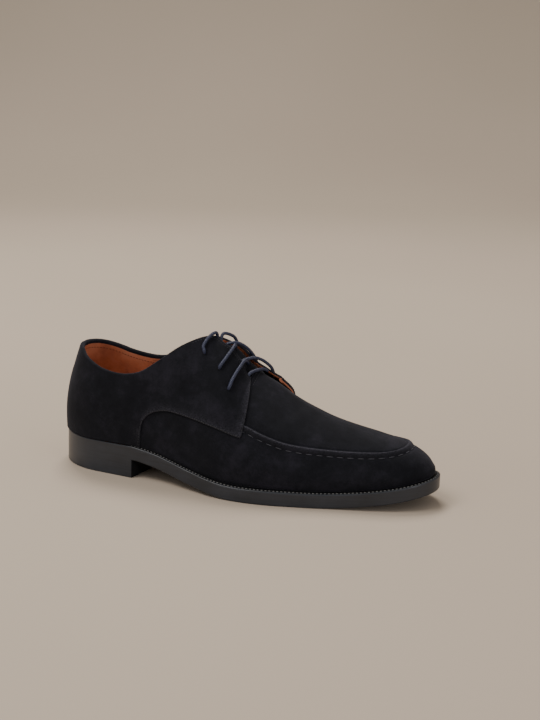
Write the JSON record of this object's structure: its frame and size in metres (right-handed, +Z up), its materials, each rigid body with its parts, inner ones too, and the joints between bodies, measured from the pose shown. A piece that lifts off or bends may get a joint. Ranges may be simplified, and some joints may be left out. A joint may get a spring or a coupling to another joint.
{
  "type": "derby shoe",
  "caption": "Right-foot lace-up derby shoe with a raised apron seam, suede upper, stitched welt, long leather sole and low block heel.",
  "frame": {"origin": "on the floor, below the middle of the shoe's box", "axes": "+X from heel to toe, +Y towards the inner side of the foot, +Z up"},
  "size_m": [0.3044, 0.1056, 0.1151],
  "materials": {
    "suede": "midnight navy suede, napped",
    "lining": "tan calf lining, smooth",
    "sole_leather": "blacked and waxed edge",
    "lace": "round waxed cotton, slate navy"
  },
  "bodies": {
    "root": {"upper": "suede", "quarter_outer": "suede", "quarter_inner": "suede", "tongue": "suede", "insole": "lining", "welt": "sole_leather", "outsole": "sole_leather", "heel": "sole_leather", "lace_crossing_low": "lace", "lace_crossing_high": "lace", "lace_bar": "lace", "lace_end_outer": "lace", "lace_end_inner": "lace"}
  },
  "joints": []
}
